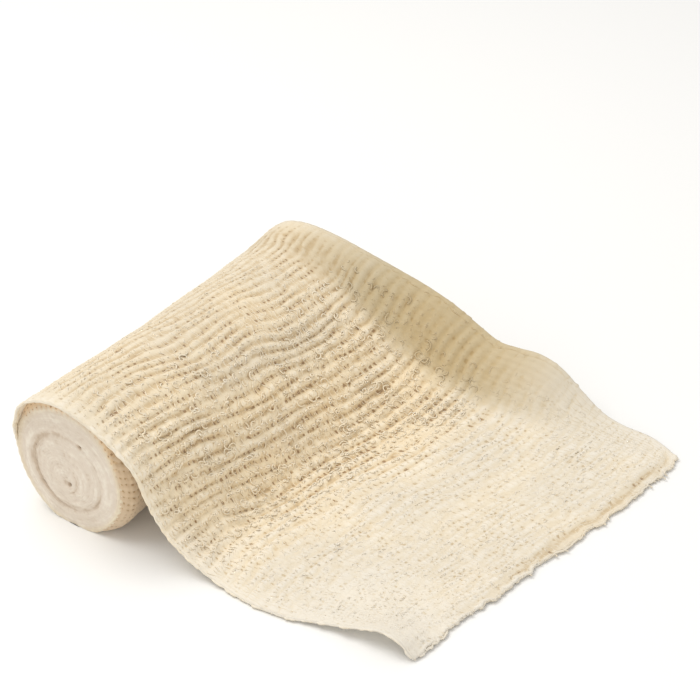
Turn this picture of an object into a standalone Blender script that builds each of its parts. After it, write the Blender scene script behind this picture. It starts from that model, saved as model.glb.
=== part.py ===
"""Crepe bandage roll: a wound roll of cotton crepe with its loose end laid out beside it.

Metres, +Z up. The roll's axis runs along Y. The loose end starts at the back of the roll,
passes over its top and lies down towards +X, as far as the ragged cut. The origin is the
middle of the flat spot that the roll rests on.
"""
import math
from collections import namedtuple

import bmesh
import bpy
from mathutils import Vector

MM = 0.001

# The wound roll, in millimetres. Seen from -Y its turns wind outwards clockwise.
ROLL_LENGTH = 100.0            # the bandage's width
ROLL_HALF_WIDTH = 16.9         # half of its oval section, along X
ROLL_HALF_HEIGHT = 18.5        # and along Z
ROLL_AXIS_HEIGHT = 17.6        # less than the half height, which leaves the flat spot
TURN = 1.3                     # pitch of one wound turn
SPIRAL_DEPTH = 6.0             # how far in from the wound side the last turn's step shows
LIFT_OFF = math.radians(156)   # where the last turn leaves the roll, up from +X
STEP_WIDTH = math.radians(0.5)  # angle over which the last turn's edge steps down
RIM_ROUNDING = 1.6             # of the edge between the wound side and the end faces
RIM_ANGLES = (0, 50, 90)       # degrees round that edge, from the wound side to the end face
WAIST = 1.0                    # how much thinner the roll is halfway than at its woven edges
WAIST_SQUARENESS = 4           # of the way the waist widens towards the two edges
SIDE_ROWS = (-0.42, -0.3, -0.12, 0.12, 0.3, 0.42)    # rows of the wound side, shares of length
ROLL_ANGLES = 60

# Rings of an end face: share of the outer radius, and height above the face.
EndRing = namedtuple("EndRing", "share proud")
END_RINGS = (
    EndRing(0.66, 0.2),        # outer turns, level
    EndRing(0.62, -0.9),       # the slack turn's gap
    EndRing(0.57, 0.4),        # the tight inner turns stand a little proud
    EndRing(0.13, 0.5),
    EndRing(0.07, -1.2),       # the hollow at the winding's centre
)

# The loose end: a sheet of crepe, given by the height of its underside, in millimetres.
CLOTH_THICKNESS = 1.5
FLOOR = 0.0
STEPS_PER_SECTION = 3
STEPS_ACROSS = 21

# Share of the cloth's width at which each lengthwise line runs.
LEFT, INNER, MIDDLE, CREASE, RIGHT = 0.0, 0.15, 0.47, 0.87, 1.0
LINES = (LEFT, INNER, MIDDLE, CREASE, RIGHT)
INNER_BLEND = 0.3              # the inner line's place between the left and middle lines

# The last turn over the roll: angle up from +X, and gap to the roll along each line.
Wrap = namedtuple("Wrap", "name angle left middle crease right")
WRAPS = (
    Wrap("start", 154, 0.5, 0.4, 0.4, 0.5),
    Wrap("back", 143, 0.6, 0.4, 0.4, 0.6),
    Wrap("climb", 131, 0.9, 0.4, 0.4, 0.8),
    Wrap("ridge", 117, 1.5, 0.5, 0.5, 1.2),
    Wrap("top", 103, 2.0, 0.6, 0.6, 1.7),
)

# Sections across the free cloth, from the top of the roll to the cut. left, crease and right
# are (x, y, z); the middle line keeps to y = 0 and is (x, z).
Section = namedtuple("Section", "name left middle crease right")
SECTIONS = (
    Section("crown", (1.5, -51.0, 38.5), (1.5, 36.1), (1.8, 37.0, 36.4), (2.5, 50.2, 38.4)),
    Section("shoulder", (9.3, -50.9, 35.3), (9.0, 33.8), (10.0, 37.6, 34.5), (11.5, 50.7, 37.2)),
    Section("brow", (15.8, -50.7, 31.0), (15.4, 29.8), (18.0, 38.4, 30.2), (21.0, 51.6, 34.8)),
    Section("fall", (21.0, -50.4, 25.6), (20.4, 23.4), (25.0, 39.5, 24.4), (30.0, 53.2, 31.8)),
    Section("slope", (24.0, -50.1, 18.4), (24.8, 16.4), (31.5, 41.2, 18.4), (38.0, 55.4, 28.2)),
    Section("foot", (27.0, -49.7, 12.2), (29.2, 9.2), (38.0, 43.2, 12.6), (45.5, 57.8, 23.4)),
    Section("toe", (31.6, -49.1, 6.8), (33.6, 2.8), (45.0, 45.2, 7.6), (51.8, 59.4, 18.6)),
    Section("landing", (37.6, -48.5, 2.6), (38.0, 0.1), (52.0, 47.0, 4.2), (58.2, 60.0, 15.3)),
    Section("flat", (44.5, -48.3, 0.3), (45.0, 0.0), (59.0, 48.2, 2.2), (64.6, 60.0, 15.5)),
    Section("hollow", (53.0, -49.1, 0.0), (54.0, 0.0), (66.0, 48.6, 1.4), (70.8, 60.0, 16.0)),
    Section("hump", (62.0, -48.4, 0.0), (63.5, 0.0), (73.0, 48.4, 1.2), (77.2, 60.0, 14.0)),
    Section("lift", (70.0, -46.4, 0.9), (73.0, 0.0), (80.0, 48.0, 1.0), (83.6, 60.0, 8.8)),
    Section("wave", (78.0, -45.1, 2.4), (82.5, 0.0), (87.5, 48.4, 0.9), (90.0, 60.0, 4.0)),
    Section("curl", (85.5, -44.5, 4.8), (91.0, 0.0), (95.5, 49.5, 0.6), (96.6, 59.8, 2.1)),
    Section("drop", (90.2, -44.1, 4.2), (98.0, 0.0), (105.0, 50.0, 0.3), (105.2, 60.3, 1.0)),
    Section("cut", (93.8, -43.0, 0.2), (103.2, 0.0), (113.2, 49.5, 0.0), (113.6, 57.5, 0.0)),
)

# The cut wanders across the threads: share of the width, and how far it runs past the line.
CutPoint = namedtuple("CutPoint", "across past")
CUT_LINE = (
    CutPoint(0.00, 0.0),
    CutPoint(0.06, 0.6),
    CutPoint(0.20, -0.4),
    CutPoint(0.36, 0.3),
    CutPoint(0.52, -0.3),
    CutPoint(0.68, 0.5),
    CutPoint(0.84, -0.2),
    CutPoint(1.00, 0.0),
)

ROLL_COLOUR = (0.78, 0.68, 0.55, 1.0)
CLOTH_COLOUR = (0.86, 0.77, 0.62, 1.0)
CLOTH_ROUGHNESS = 0.95
SHARP_ANGLE = math.radians(50)  # edges sharper than this are not shaded smooth


def clear_scene():
    for obj in list(bpy.data.objects):
        bpy.data.objects.remove(obj, do_unlink=True)


def make_collection(name):
    collection = bpy.data.collections.new(name)
    bpy.context.scene.collection.children.link(collection)
    return collection


def make_material(name, colour, roughness):
    material = bpy.data.materials.new(name)
    material.use_nodes = True
    shader = material.node_tree.nodes["Principled BSDF"]
    shader.inputs["Base Color"].default_value = colour
    shader.inputs["Roughness"].default_value = roughness
    shader.inputs["Metallic"].default_value = 0.0
    return material


def add_object(name, mesh, material, collection):
    obj = bpy.data.objects.new(name, mesh)
    obj.data.materials.append(material)
    collection.objects.link(obj)
    return obj


def loft(rows, closed):
    """A surface over rows of points, in millimetres; closed joins each row's two ends."""
    bm = bmesh.new()
    grid = [[bm.verts.new(Vector(point) * MM) for point in row] for row in rows]
    count = len(rows[0])
    last = count if closed else count - 1
    for row, after in zip(grid, grid[1:]):
        for i in range(last):
            j = (i + 1) % count
            bm.faces.new((row[i], after[i], after[j], row[j]))
    return bm, grid


def mesh_from(bm, name):
    mesh = bpy.data.meshes.new(name)
    bm.to_mesh(mesh)
    bm.free()
    mesh.shade_smooth()
    mesh.set_sharp_from_angle(angle=SHARP_ANGLE)
    return mesh


def turn_growth(angle):
    """How far the spiral has grown since LIFT_OFF, winding outwards the other way round."""
    return TURN * ((LIFT_OFF - angle) % math.tau) / math.tau


def roll_point(angle, inset, y):
    """A point of the oval spiral section, inset from the wound side, with the flat spot."""
    spiral_share = min(1.0, max(0.0, 1.0 - inset / SPIRAL_DEPTH))
    growth = turn_growth(angle) * spiral_share - inset
    x = (ROLL_HALF_WIDTH + growth) * math.cos(angle)
    z = ROLL_AXIS_HEIGHT + (ROLL_HALF_HEIGHT + growth) * math.sin(angle)
    return (x, y, max(z, FLOOR))


def roll_angles():
    """Angles round the roll, with the step of the last turn between the first and last."""
    span = math.tau - STEP_WIDTH
    return [LIFT_OFF - span * i / (ROLL_ANGLES - 1) for i in range(ROLL_ANGLES)]


def waist(y):
    """How far the wound side draws in at a place along the roll."""
    return WAIST * (1.0 - min(1.0, abs(2.0 * y / ROLL_LENGTH)) ** WAIST_SQUARENESS)


def end_rows(side):
    """Rings of one end face from its rim inwards; side is -1 for the left end, 1 for the right."""
    face = side * ROLL_LENGTH / 2
    rows = []
    for angle in RIM_ANGLES:
        inset = RIM_ROUNDING * (1.0 - math.cos(math.radians(angle)))
        drop = RIM_ROUNDING * (1.0 - math.sin(math.radians(angle)))
        rows.append((inset, face - side * drop))
    radius = (ROLL_HALF_WIDTH + ROLL_HALF_HEIGHT) / 2
    for ring in END_RINGS:
        rows.append((radius * (1.0 - ring.share), face + side * ring.proud))
    return rows


def build_roll(material, collection):
    angles = roll_angles()
    side_ys = [ROLL_LENGTH * share for share in SIDE_ROWS]
    left = [[roll_point(a, inset, y) for a in angles] for inset, y in reversed(end_rows(-1))]
    side = [[roll_point(a, waist(y), y) for a in angles] for y in side_ys]
    right = [[roll_point(a, inset, y) for a in angles] for inset, y in end_rows(1)]
    bm, grid = loft(left + side + right, closed=True)
    for row, y in ((grid[0], left[0][0][1]), (grid[-1], right[-1][0][1])):
        centre = bm.verts.new(Vector((0.0, y, ROLL_AXIS_HEIGHT)) * MM)
        for i, vert in enumerate(row):
            bm.faces.new((vert, row[(i + 1) % len(row)], centre))
    bmesh.ops.recalc_face_normals(bm, faces=bm.faces)
    mesh = mesh_from(bm, "wound_roll")
    return add_object("wound_roll", mesh, material, collection)


def catmull_rom(keys, values, at):
    """A smooth curve through values at rising keys, each value a Vector."""
    k = max(i for i in range(len(keys) - 1) if keys[i] <= at or i == 0)
    span = keys[k + 1] - keys[k]
    t = (at - keys[k]) / span
    before, after = max(k - 1, 0), min(k + 2, len(keys) - 1)
    start = (values[k + 1] - values[before]) * (span / (keys[k + 1] - keys[before]))
    end = (values[after] - values[k]) * (span / (keys[after] - keys[k]))
    return (values[k] * (2 * t**3 - 3 * t**2 + 1) + start * (t**3 - 2 * t**2 + t)
            + values[k + 1] * (3 * t**2 - 2 * t**3) + end * (t**3 - t**2))


def wrap_lines(wrap):
    """The lengthwise lines' points where the last turn still lies over the roll."""
    angle = math.radians(wrap.angle)
    first = SECTIONS[0]
    gaps = (wrap.left, wrap.middle, wrap.middle, wrap.crease, wrap.right)
    ys = (first.left[1], INNER * ROLL_LENGTH - ROLL_LENGTH / 2, 0.0, first.crease[1],
          first.right[1])
    return [Vector(roll_point(angle, waist(y) - gap, y)) for gap, y in zip(gaps, ys)]


def section_lines(section):
    """The lengthwise lines' points at a section of the free cloth."""
    left, crease, right = Vector(section.left), Vector(section.crease), Vector(section.right)
    middle = Vector((section.middle[0], 0.0, section.middle[1]))
    inner = left.lerp(middle, INNER_BLEND)
    inner.z = middle.z
    return [left, inner, middle, crease, right]


def cut_past(across):
    """How far the cut runs past its line at a share of the width."""
    keys = [point.across for point in CUT_LINE]
    values = [Vector((point.past, 0.0, 0.0)) for point in CUT_LINE]
    return catmull_rom(keys, values, across)


def cloth_rows():
    """Rows of points across the loose end's underside, from the roll's back to the cut."""
    lines = [wrap_lines(wrap) for wrap in WRAPS] + [section_lines(row) for row in SECTIONS]
    stations = list(range(len(lines)))
    last_section = len(lines) - 2
    rows = []
    for step in range((len(lines) - 1) * STEPS_PER_SECTION + 1):
        along = step / STEPS_PER_SECTION
        here = [catmull_rom(stations, column, along) for column in zip(*lines)]
        row = [catmull_rom(LINES, here, i / STEPS_ACROSS) for i in range(STEPS_ACROSS + 1)]
        to_cut = max(0.0, along - last_section)
        for i, point in enumerate(row):
            point += cut_past(i / STEPS_ACROSS) * to_cut
            point.z = max(point.z, FLOOR)
        rows.append(row)
    return rows


def build_loose_end(material, collection):
    bm, _ = loft(cloth_rows(), closed=False)
    bmesh.ops.recalc_face_normals(bm, faces=bm.faces)
    facing_up = sum(face.normal.z * face.calc_area() for face in bm.faces)
    if facing_up < 0.0:
        bmesh.ops.reverse_faces(bm, faces=bm.faces)
    mesh = mesh_from(bm, "loose_end")
    obj = add_object("loose_end", mesh, material, collection)
    solidify = obj.modifiers.new("cloth", "SOLIDIFY")
    solidify.thickness = CLOTH_THICKNESS * MM
    solidify.offset = 1.0
    solidify.use_even_offset = True
    return obj


def main():
    clear_scene()
    collection = make_collection("crepe_bandage_roll")
    roll_cloth = make_material("wound_crepe", ROLL_COLOUR, CLOTH_ROUGHNESS)
    loose_cloth = make_material("loose_crepe", CLOTH_COLOUR, CLOTH_ROUGHNESS)
    build_roll(roll_cloth, collection)
    build_loose_end(loose_cloth, collection)


main()
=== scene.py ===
import math
from collections import namedtuple
from functools import lru_cache

import bpy
import numpy as np
from mathutils import Matrix, Vector


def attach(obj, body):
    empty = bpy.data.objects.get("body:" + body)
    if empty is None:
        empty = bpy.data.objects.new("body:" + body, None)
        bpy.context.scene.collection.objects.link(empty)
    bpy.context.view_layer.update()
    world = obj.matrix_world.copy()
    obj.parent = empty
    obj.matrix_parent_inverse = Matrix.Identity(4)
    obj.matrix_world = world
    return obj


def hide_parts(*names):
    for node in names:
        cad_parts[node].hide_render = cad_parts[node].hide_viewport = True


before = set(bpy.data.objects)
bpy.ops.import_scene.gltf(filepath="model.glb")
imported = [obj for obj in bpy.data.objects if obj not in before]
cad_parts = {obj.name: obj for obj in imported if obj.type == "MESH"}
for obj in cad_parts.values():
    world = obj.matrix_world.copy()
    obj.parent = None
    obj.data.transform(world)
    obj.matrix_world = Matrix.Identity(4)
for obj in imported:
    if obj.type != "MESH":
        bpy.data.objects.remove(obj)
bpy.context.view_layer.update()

MM = 0.001
BODY = "root"

# ---------------- sizes shared with the solids

ROLL_LENGTH = 100.0
ROLL_HALF_WIDTH = 16.9
ROLL_HALF_HEIGHT = 18.5
ROLL_AXIS_HEIGHT = 17.6
TURN = 1.3  # how much the outline grows in one turn
LIFT_OFF = math.radians(156)  # where the last turn steps off it
RIM_ROUNDING = 1.6
RIM_STEEPNESS = 0.9  # 1 would make the rim's rounding a full quarter circle
WAIST = 1.0
WAIST_SQUARENESS = 4
CLOTH_THICKNESS = 1.5

LEFT, INNER, MIDDLE, CREASE, RIGHT = 0.0, 0.15, 0.47, 0.87, 1.0
LINES = (LEFT, INNER, MIDDLE, CREASE, RIGHT)
INNER_BLEND = 0.3

# The last turn over the roll: angle up from +X, gap to the roll along each line, and how far
# the left edge hangs past the end face.
Wrap = namedtuple("Wrap", "name angle left inner middle crease right hang")
WRAPS = (
    Wrap("start", 154, 0.2, 0.4, 0.4, 0.4, 0.5, 0.6),
    Wrap("back", 143, 0.5, 0.5, 0.4, 0.4, 0.6, 1.4),
    Wrap("climb", 131, 1.1, 0.9, 0.4, 0.4, 0.8, 2.4),
    Wrap("ridge", 117, 1.6, 1.6, 0.5, 0.5, 1.2, 3.0),
    Wrap("top", 103, 1.8, 2.0, 0.6, 0.6, 1.7, 3.0),
)

# Sections of the free cloth's underside: left, crease and right are (x, y, z), middle (x, z).
Section = namedtuple("Section", "name left middle crease right")
SECTIONS = (
    Section("crown", (1.5, -52.8, 38.2), (1.5, 36.1), (1.8, 37.0, 36.4), (2.5, 50.2, 38.4)),
    Section("shoulder", (9.3, -51.9, 35.3), (9.0, 33.8), (10.0, 37.6, 34.5), (11.5, 50.7, 37.2)),
    Section("brow", (15.8, -51.1, 31.0), (15.4, 29.8), (18.0, 38.4, 30.2), (21.0, 51.6, 34.8)),
    Section("fall", (21.0, -50.4, 25.6), (20.4, 23.4), (25.0, 39.5, 24.4), (30.0, 53.2, 31.8)),
    Section("slope", (24.0, -50.1, 18.4), (24.8, 16.4), (31.5, 41.2, 18.4), (38.0, 55.4, 28.2)),
    Section("foot", (27.0, -49.7, 12.2), (29.2, 9.2), (38.0, 43.2, 12.6), (45.5, 57.8, 23.4)),
    Section("toe", (31.6, -49.1, 6.8), (33.6, 2.8), (45.0, 45.2, 7.6), (51.8, 59.4, 18.6)),
    Section("landing", (37.6, -48.5, 2.6), (38.0, 0.1), (52.0, 47.0, 4.2), (58.2, 60.0, 15.3)),
    Section("flat", (44.5, -48.3, 0.3), (45.0, 0.0), (59.0, 48.2, 2.2), (64.6, 60.0, 15.5)),
    Section("hollow", (53.0, -49.1, 0.0), (54.0, 0.0), (66.0, 48.6, 1.4), (70.8, 60.0, 16.0)),
    Section("hump", (62.0, -48.4, 0.0), (63.5, 0.0), (73.0, 48.4, 1.2), (77.2, 60.0, 14.0)),
    Section("lift", (70.0, -46.4, 0.9), (73.0, 0.0), (80.0, 48.0, 1.0), (83.6, 60.0, 8.8)),
    Section("wave", (78.0, -45.1, 2.4), (82.5, 0.0), (87.5, 48.4, 0.9), (90.0, 60.0, 4.0)),
    Section("curl", (85.5, -44.5, 4.8), (91.0, 0.0), (95.5, 49.5, 0.6), (96.6, 59.8, 2.1)),
    Section("drop", (90.2, -44.1, 4.2), (98.0, 0.0), (105.0, 50.0, 0.3), (105.2, 60.3, 1.0)),
    Section("cut", (93.8, -43.0, 0.2), (103.2, 0.0), (113.2, 49.5, 0.0), (113.6, 57.5, 0.0)),
)

# How far the cloth arches up beside the left edge, for the first sections.
ARCH = (1.4, 1.0, 0.6, 0.3)

# The cut wanders across the threads: share of the width, and how far it runs past the line.
CUT_LINE = ((0.0, 0.0), (0.06, 0.6), (0.20, -0.4), (0.36, 0.3), (0.52, -0.3), (0.68, 0.5),
            (0.84, -0.2), (1.0, 0.0))

# ---------------- the strip's own measures

WIDTH = 100.0  # of the strip, relaxed
ROW_STEP = 0.7  # mesh step along the strip
COLUMNS = 150  # mesh steps across it
SHEET_MM = 0.55  # thickness of the woven ground, without its crinkles
SHEET_GAP = 0.08  # between the ground and the floor
YARN_GAP = 0.05  # between the yarns and the floor
JOIN = 172.0  # u where the loose end's mesh hands over to the outermost turn's
STRIP_END = 248.0  # u where the outermost turn is hidden under the loose end
SPIRAL_END = math.radians(545)  # far enough round for the strip's whole table
SWELL = 1.2  # how far the outermost turn bulges towards the slope
FACE_INSET = 1.1  # how far the end faces' rims draw in on that side
SHOULDER_FROM = 45.5  # |y| where the bulge starts to round off towards the face
TURN_BACK = 0.55  # how far the outermost turn's middle lies inside its outer face
TUCK = 0.6  # how far its woven edges end short of the end faces
TINY = 1e-6

# ---------------- values that vary

# A value that eases from before, at start, to after, at end.
Ease = namedtuple("Ease", "start end before after", defaults=(0.0, 1.0))

# Noise over the cloth: the size of its lumps along u and v, its seed and its amount.
Noise = namedtuple("Noise", "u v seed amount", defaults=(1.0,))

# Noise along a yarn: the size of its waves, how far apart two yarns' rows of it lie, its seed,
# its amount and where it starts.
YarnNoise = namedtuple("YarnNoise", "size row seed amount start", defaults=(1.0, 0.0))

NOISE_SIZE = 512


def smoothstep(low, high, x):
    t = np.clip((x - low) / (high - low), 0.0, 1.0)
    return t * t * (3.0 - 2.0 * t)


def eased(ease, x):
    return ease.before + (ease.after - ease.before) * smoothstep(ease.start, ease.end, x)


def profile(pairs, x):
    """Straight lines through (place, value) pairs, read at x."""
    return np.interp(x, *np.transpose(pairs))


def bell(x, width):
    return np.exp(-(x / width) ** 2)


@lru_cache(maxsize=None)
def noise_table(seed):
    return np.random.RandomState(seed).uniform(-1.0, 1.0, (NOISE_SIZE, NOISE_SIZE))


def value_noise(x, y, seed):
    """Smooth noise from -1 to 1, with one random value at each whole number of x and y."""
    size = NOISE_SIZE
    table = noise_table(seed)
    xi, yi = np.floor(x).astype(int), np.floor(y).astype(int)
    fx, fy = x - xi, y - yi
    fx, fy = fx * fx * (3.0 - 2.0 * fx), fy * fy * (3.0 - 2.0 * fy)
    a, b = table[xi % size, yi % size], table[(xi + 1) % size, yi % size]
    c, d = table[xi % size, (yi + 1) % size], table[(xi + 1) % size, (yi + 1) % size]
    return (a * (1 - fx) + b * fx) * (1 - fy) + (c * (1 - fx) + d * fx) * fy


def noise(kind, u, v):
    return kind.amount * value_noise(u / kind.u, v / kind.v, kind.seed)


def yarn_noise(kind, x, index=1.0):
    """Noise along a yarn, with its own row of the table for each index."""
    row = 0.0 * x + kind.row * index
    return kind.amount * value_noise(x / kind.size + kind.start, row, kind.seed)


def catmull_rom(keys, values, at):
    """A smooth curve through values, an array with one row for each rising key."""
    keys, values, at = np.asarray(keys, float), np.asarray(values, float), np.asarray(at, float)
    last = len(keys) - 1
    k = np.clip(np.searchsorted(keys, at, side="right") - 1, 0, last - 1)
    before, after = np.maximum(k - 1, 0), np.minimum(k + 2, last)
    shape = (-1,) + (1,) * (values.ndim - 1)
    span = (keys[k + 1] - keys[k]).reshape(shape)
    t = (at - keys[k]).reshape(shape) / span
    start = (values[k + 1] - values[before]) * span / (keys[k + 1] - keys[before]).reshape(shape)
    end = (values[after] - values[k]) * span / (keys[after] - keys[k]).reshape(shape)
    return (values[k] * (2 * t**3 - 3 * t**2 + 1) + start * (t**3 - 2 * t**2 + t)
            + values[k + 1] * (3 * t**2 - 2 * t**3) + end * (t**3 - t**2))


# ---------------- laying the strip out in space

FRONT_MIDDLE = math.radians(-15)
FRONT_REACH = Ease(math.radians(75), math.radians(25))
SETTLE = math.radians(30)  # over which the outermost turn settles, from under the loose end
SECTION_STEPS = 24
TURN_STEPS = 720


def waist(y):
    return WAIST * (1.0 - np.minimum(1.0, np.abs(2.0 * y / ROLL_LENGTH)) ** WAIST_SQUARENESS)


def rim_inset(y):
    """How far the wound side draws in over the last stretch before an end face."""
    t = np.clip((np.abs(y) - ROLL_LENGTH / 2 + RIM_ROUNDING) / RIM_ROUNDING, 0.0, 1.0)
    return RIM_ROUNDING * (1.0 - np.sqrt(1.0 - RIM_STEEPNESS * t * t))


def roll_point(angle, proud, y):
    """A point of the oval section, proud of its plain outline."""
    x = (ROLL_HALF_WIDTH + proud) * np.cos(angle)
    z = ROLL_AXIS_HEIGHT + (ROLL_HALF_HEIGHT + proud) * np.sin(angle)
    return np.stack([x, y + 0.0 * x, z], -1)


def front_side(angle):
    """1 on the roll's side that faces the slope, falling to 0 round it."""
    return eased(FRONT_REACH, np.abs((angle - FRONT_MIDDLE + math.pi) % math.tau - math.pi))


def turn_growth(angle):
    return TURN * ((LIFT_OFF - angle) % math.tau) / math.tau


def control_lines():
    """The five lengthwise lines of the loose end's underside, from the roll's back to the cut."""
    first = SECTIONS[0]
    rows = []
    for wrap in WRAPS:
        angle = math.radians(wrap.angle)
        gaps = np.array((wrap.left, wrap.inner, wrap.middle, wrap.crease, wrap.right))
        ys = np.array((-ROLL_LENGTH / 2 - wrap.hang, (INNER - 0.5) * ROLL_LENGTH, 0.0,
                       first.crease[1], first.right[1]))
        rows.append(roll_point(angle, turn_growth(angle) + gaps - waist(ys), ys))
    for section, arch in zip(SECTIONS, ARCH + (0.0,) * (len(SECTIONS) - len(ARCH))):
        left, crease, right = (np.array(p) for p in (section.left, section.crease, section.right))
        middle = np.array((section.middle[0], 0.0, section.middle[1]))
        inner = left + (middle - left) * INNER_BLEND
        inner[2] = middle[2] + arch
        rows.append(np.array([left, inner, middle, crease, right]))
    return np.array(rows)


def surface_normals(grid):
    """Unit normals of a grid of points whose rows run along the strip, out of its upper side."""
    normal = np.cross(np.gradient(grid, axis=1), np.gradient(grid, axis=0))
    return normal / np.linalg.norm(normal, axis=-1, keepdims=True)


def loose_grid(shares):
    """Middle of the cloth's thickness over the loose end: rows from the cut back to the roll."""
    lines = control_lines()
    along = np.linspace(0, len(lines) - 1, (len(lines) - 1) * SECTION_STEPS + 1)
    rows = catmull_rom(range(len(lines)), lines, along)
    grid = catmull_rom(LINES, rows.transpose(1, 0, 2), shares).transpose(1, 0, 2)
    across, past = np.transpose(CUT_LINE)
    to_cut = np.clip(along - (len(lines) - 2), 0.0, 1.0)
    grid[:, :, 0] += to_cut[:, None] * catmull_rom(across, past, shares)[None, :]
    grid[:, :, 2] = np.maximum(grid[:, :, 2], 0.0)
    grid = grid[::-1]
    return grid + surface_normals(grid) * CLOTH_THICKNESS / 2


def outer_turn_grid(shares, first_row):
    """Middle of the cloth's thickness over the outermost turn, on from the loose end."""
    start = math.radians(WRAPS[0].angle)
    angles = np.linspace(start, SPIRAL_END, TURN_STEPS)[1:, None]
    settle = smoothstep(start, start + SETTLE, angles)
    y_start = first_row[:, 1][None, :]
    y = y_start + ((ROLL_LENGTH - 2 * TUCK) * (shares[None, :] - 0.5) - y_start) * settle
    snug = TURN * (LIFT_OFF + math.tau - angles) / math.tau - TURN_BACK
    lifted = WRAPS[0].middle + CLOTH_THICKNESS / 2
    proud = lifted + (snug - lifted) * settle - waist(y) - rim_inset(y) * settle
    shoulder = smoothstep(SHOULDER_FROM, ROLL_LENGTH / 2, np.abs(y))
    proud = proud + front_side(angles) * (SWELL - (SWELL + FACE_INSET) * shoulder)
    grid = roll_point(angles, proud, y)
    grid[:, :, 2] = np.maximum(grid[:, :, 2], TURN_BACK)
    return grid


class StripMap:
    """Where each (u, v) of the strip lies: a table of points at even steps, read in between."""

    STEP = 0.25  # of the table's rows
    SPARE = 4.0  # of the table past the strip's end
    COLUMNS = 201
    LAST_CELL = 1.001  # how far below the table's length the last read stays

    def __init__(self):
        self.shares = np.linspace(0.0, 1.0, self.COLUMNS)
        loose = loose_grid(self.shares)
        turn = outer_turn_grid(self.shares, loose[-1])
        grid = np.concatenate([loose, turn])
        lengths = np.linalg.norm(np.diff(grid, axis=0), axis=-1)
        run = np.concatenate([np.zeros((1, self.COLUMNS)), np.cumsum(lengths, axis=0)])
        rows = np.arange(0.0, STRIP_END + self.SPARE, self.STEP)
        self.points = np.empty((len(rows), self.COLUMNS, 3))
        for column in range(self.COLUMNS):
            for axis in range(3):
                self.points[:, column, axis] = np.interp(rows, run[:, column],
                                                         grid[:, column, axis])
        self.normals = surface_normals(self.points)

    def at(self, u, v):
        """Points and outward normals at arrays of u and v; past the cut the strip runs straight."""
        row = np.clip(u / self.STEP, 0.0, len(self.points) - self.LAST_CELL)
        column = np.clip(v / WIDTH * (self.COLUMNS - 1), 0.0, self.COLUMNS - self.LAST_CELL)
        i, j = row.astype(int), column.astype(int)
        fi, fj = (row - i)[..., None], (column - j)[..., None]
        read = []
        for table in (self.points, self.normals):
            near = table[i, j] * (1 - fj) + table[i, j + 1] * fj
            far = table[i + 1, j] * (1 - fj) + table[i + 1, j + 1] * fj
            read.append(near * (1 - fi) + far * fi)
        points, normals = read
        past = np.minimum(u, 0.0)[..., None]
        ahead = self.points[1, j] - self.points[0, j]
        points = points + past * ahead / np.linalg.norm(ahead, axis=-1, keepdims=True)
        return points, normals / np.linalg.norm(normals, axis=-1, keepdims=True)


# ---------------- the crinkled relief

# How the ribs change along the strip: at u from the cut, rib pitch and rib height.
Crinkle = namedtuple("Crinkle", "u pitch height")
CRINKLES = (
    Crinkle(0.0, 2.1, 0.20),
    Crinkle(28.0, 2.3, 0.26),
    Crinkle(48.0, 3.2, 0.40),
    Crinkle(70.0, 3.4, 0.68),
    Crinkle(92.0, 3.2, 0.56),
    Crinkle(112.0, 2.6, 0.36),
    Crinkle(160.0, 2.2, 0.26),
    Crinkle(190.0, 2.0, 0.36),
    Crinkle(300.0, 2.0, 0.36),
)
COUNT_STEPS = 1201

RIB_SWAY = Noise(11.0, 16.0, 3, 1.2)
RIB_WOBBLE = Noise(3.2, 5.5, 4, 0.6)
FLAT_JUMBLE = Noise(1.8, 2.4, 15, 0.75)
FLAT_PART = Ease(62.0, 44.0)
TURN_JUMBLE = Noise(1.6, 1.9, 16, 0.5)
TURN_PART = Ease(168.0, 182.0)

LEFT_CALM = Ease(165.0, 180.0, 0.4, 0.85)
LEFT_EDGE = Ease(0.3, 6.0)
RIGHT_EDGE = Ease(0.5, 6.0, 0.35, 1.0)
PAST_CREASE = Ease(82.0, 90.0, 0.0, 0.45)
BEFORE_ROLL = Ease(125.0, 85.0)

# How rough the crepe is, along u: even on the floor, full on the slope, less over the roll.
COARSE = ((0.0, 0.4), (45.0, 0.42), (64.0, 0.95), (90.0, 0.95), (112.0, 0.5), (200.0, 0.4))

CUT_RIB_AT, CUT_RIB_HEIGHT = 4.3, 0.42
# The groove beside the cut: where it lies, how deep it is, and how much painted shade darkens it.
CUT_GROOVE_AT, CUT_GROOVE_DEPTH, CUT_GROOVE_SHADE = 2.3, 0.2, 0.42
CUT_BAND_WIDTH = 1.0
CUT_BAND_LEFT = Ease(25.0, 50.0, 0.35, 1.0)
CUT_BAND_END = Ease(99.0, 93.0)
CUT_BAND_SWAY = YarnNoise(7.0, 0.0, 11, 0.5)

RIB_GAIN = 1.5  # of the ribs' tabled height
RIB_MEAN = 0.75
RIB_UNEVEN = Noise(5.0, 8.0, 5, 0.6)
KNOTS = Noise(0.9, 1.1, 6)
KNOT_HEIGHT = 0.14
BUMPS = Noise(1.5, 1.3, 7, 0.12)
SLOW_SWELL = Noise(14.0, 18.0, 8, 0.18)
PITS = Noise(1.0, 1.05, 9)
PIT_EDGE = Ease(0.42, 0.8)
PIT_LOSS_ON_CREST = 0.55
PIT_DEPTH = 0.25
# Depth of painted shade: its mean, how much darker rib valleys are coloured, how much paler knots are
# (painted light), and how much darker pits are.
MEAN_SHADE, RIB_SHADE, KNOT_SHADE, PIT_SHADE = 0.42, 0.75, 0.2, 0.3
# Painted light weakens the painted shade towards the left edge; painted shade darkens the cloth over
# the roll; the floor's part is a little darker.
LEFT_SHADE = Ease(0.0, 26.0, 0.7, 1.0)
ROLL_SHADE = Ease(88.0, 112.0, 0.0, 0.3)
FLAT_SHADE = Ease(60.0, 40.0, 0.0, 0.03)

# Painted warm light along u, strongest low on the slope and weaker towards the left edge; its clouds
# are random uneven tone.
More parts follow.
